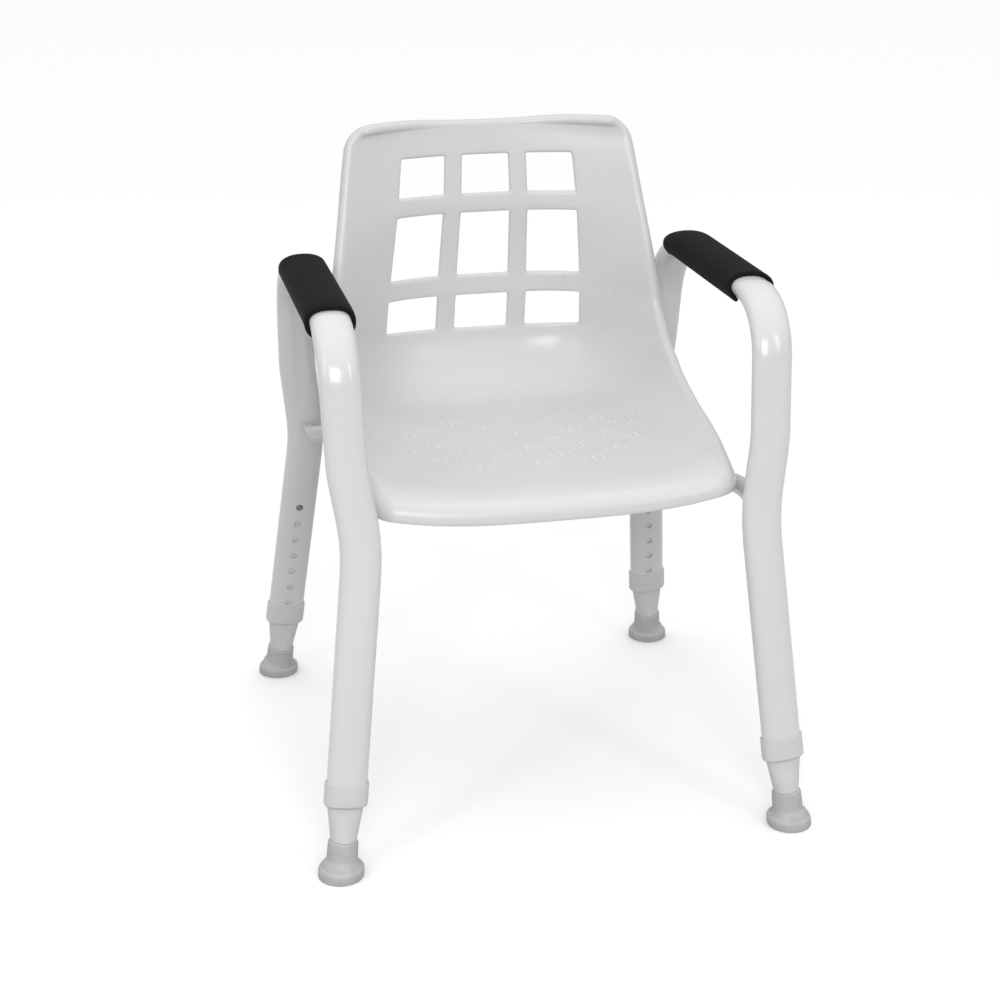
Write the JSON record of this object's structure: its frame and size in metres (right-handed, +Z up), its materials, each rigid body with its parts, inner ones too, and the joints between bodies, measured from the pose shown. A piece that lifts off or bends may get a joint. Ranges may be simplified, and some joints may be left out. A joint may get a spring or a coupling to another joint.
{
  "type": "shower chair",
  "caption": "Shower chair with a moulded seat and windowed back on bent oval-tube side frames, with padded arms and button-locked sliding legs.",
  "frame": {"origin": "on the floor, midway between the feet", "axes": "+Z up, -Y the way the sitter faces, +X to the viewer's right when the chair is seen from in front"},
  "size_m": [0.5878, 0.6114, 0.7689],
  "materials": {
    "powder_coat_white": "gloss powder coat",
    "polypropylene_white": "semi-gloss moulded",
    "collar_plastic_white": "satin moulded",
    "plug_plastic_white": "satin moulded",
    "ferrule_rubber_grey": "matte",
    "pad_vinyl_black": "matte, soft touch",
    "zinc_steel": "zinc plated",
    "saddle_plastic_grey": "matte moulded"
  },
  "bodies": {
    "frame": {"left_side_frame": "powder_coat_white", "right_side_frame": "powder_coat_white", "front_cross_tube": "powder_coat_white", "rear_cross_tube": "powder_coat_white", "left_seat_rail": "powder_coat_white", "right_seat_rail": "powder_coat_white", "seat_shell": "polypropylene_white", "left_arm_pad": "pad_vinyl_black", "right_arm_pad": "pad_vinyl_black", "seat_saddle_front_left": "saddle_plastic_grey", "seat_screw_front_left": "zinc_steel", "leg_collar_front_left": "collar_plastic_white", "seat_saddle_front_right": "saddle_plastic_grey", "seat_screw_front_right": "zinc_steel", "leg_collar_front_right": "collar_plastic_white", "seat_saddle_rear_left": "saddle_plastic_grey", "seat_screw_rear_left": "zinc_steel", "leg_collar_rear_left": "collar_plastic_white", "seat_saddle_rear_right": "saddle_plastic_grey", "seat_screw_rear_right": "zinc_steel", "leg_collar_rear_right": "collar_plastic_white"},
    "leg_front_left": {"leg_tube_front_left": "powder_coat_white", "foot_plug_front_left": "plug_plastic_white", "foot_ferrule_front_left": "ferrule_rubber_grey", "spring_clip_front_left": "zinc_steel"},
    "button_front_left": {"snap_button_front_left": "zinc_steel"},
    "leg_front_right": {"leg_tube_front_right": "powder_coat_white", "foot_plug_front_right": "plug_plastic_white", "foot_ferrule_front_right": "ferrule_rubber_grey", "spring_clip_front_right": "zinc_steel"},
    "button_front_right": {"snap_button_front_right": "zinc_steel"},
    "leg_rear_left": {"leg_tube_rear_left": "powder_coat_white", "foot_plug_rear_left": "plug_plastic_white", "foot_ferrule_rear_left": "ferrule_rubber_grey", "spring_clip_rear_left": "zinc_steel"},
    "button_rear_left": {"snap_button_rear_left": "zinc_steel"},
    "leg_rear_right": {"leg_tube_rear_right": "powder_coat_white", "foot_plug_rear_right": "plug_plastic_white", "foot_ferrule_rear_right": "ferrule_rubber_grey", "spring_clip_rear_right": "zinc_steel"},
    "button_rear_right": {"snap_button_rear_right": "zinc_steel"}
  },
  "joints": [
    {"name": "leg_front_left_slide", "type": "slide", "parent": "frame", "child": "leg_front_left", "axis": [-0.1024, -0.108, -0.9889], "range_m": [0, 0.15]},
    {"name": "button_front_left_press", "type": "slide", "parent": "leg_front_left", "child": "button_front_left", "axis": [0, -0.9941, 0.1085], "range_m": [0, 0.0045], "stiffness_N_per_m": 800, "springref_m": -0.002},
    {"name": "leg_front_right_slide", "type": "slide", "parent": "frame", "child": "leg_front_right", "axis": [0.1024, -0.108, -0.9889], "range_m": [0, 0.15]},
    {"name": "button_front_right_press", "type": "slide", "parent": "leg_front_right", "child": "button_front_right", "axis": [0, -0.9941, 0.1085], "range_m": [0, 0.0045], "stiffness_N_per_m": 800, "springref_m": -0.002},
    {"name": "leg_rear_left_slide", "type": "slide", "parent": "frame", "child": "leg_rear_left", "axis": [-0.0994, 0.2191, -0.9706], "range_m": [0, 0.15]},
    {"name": "button_rear_left_press", "type": "slide", "parent": "leg_rear_left", "child": "button_rear_left", "axis": [0, 0.9755, 0.2202], "range_m": [0, 0.0045], "stiffness_N_per_m": 800, "springref_m": -0.002},
    {"name": "leg_rear_right_slide", "type": "slide", "parent": "frame", "child": "leg_rear_right", "axis": [0.0994, 0.2191, -0.9706], "range_m": [0, 0.15]},
    {"name": "button_rear_right_press", "type": "slide", "parent": "leg_rear_right", "child": "button_rear_right", "axis": [0, 0.9755, 0.2202], "range_m": [0, 0.0045], "stiffness_N_per_m": 800, "springref_m": -0.002}
  ]
}
